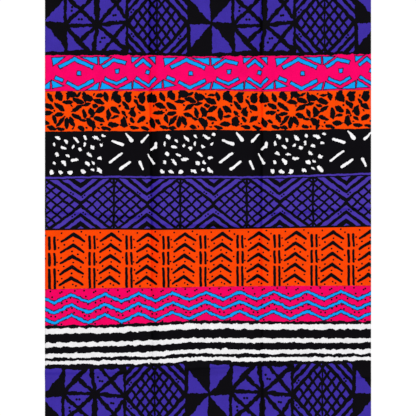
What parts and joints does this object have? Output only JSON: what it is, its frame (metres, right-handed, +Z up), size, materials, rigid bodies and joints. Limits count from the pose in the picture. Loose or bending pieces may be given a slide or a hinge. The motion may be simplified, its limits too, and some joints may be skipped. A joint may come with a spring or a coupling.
{
  "type": "wax print fabric",
  "caption": "Length of wax print cotton cloth laid out flat, with two pressed folds down its length and low creases across it.",
  "frame": {"origin": "centre of the cloth, on the surface that it lies on", "axes": "+X along the print bands from the left cut end to the right one, +Y across the bands towards the upper selvedge, +Z up off the surface"},
  "size_m": [0.9144, 1.2192, 0.0076],
  "materials": {
    "printed_cotton": "plain-woven cotton printed in bands of purple, black, pink, blue, orange and white, with the low sheen of wax print starch"
  },
  "bodies": {
    "root": {"cloth_panel": "printed_cotton"}
  },
  "joints": []
}
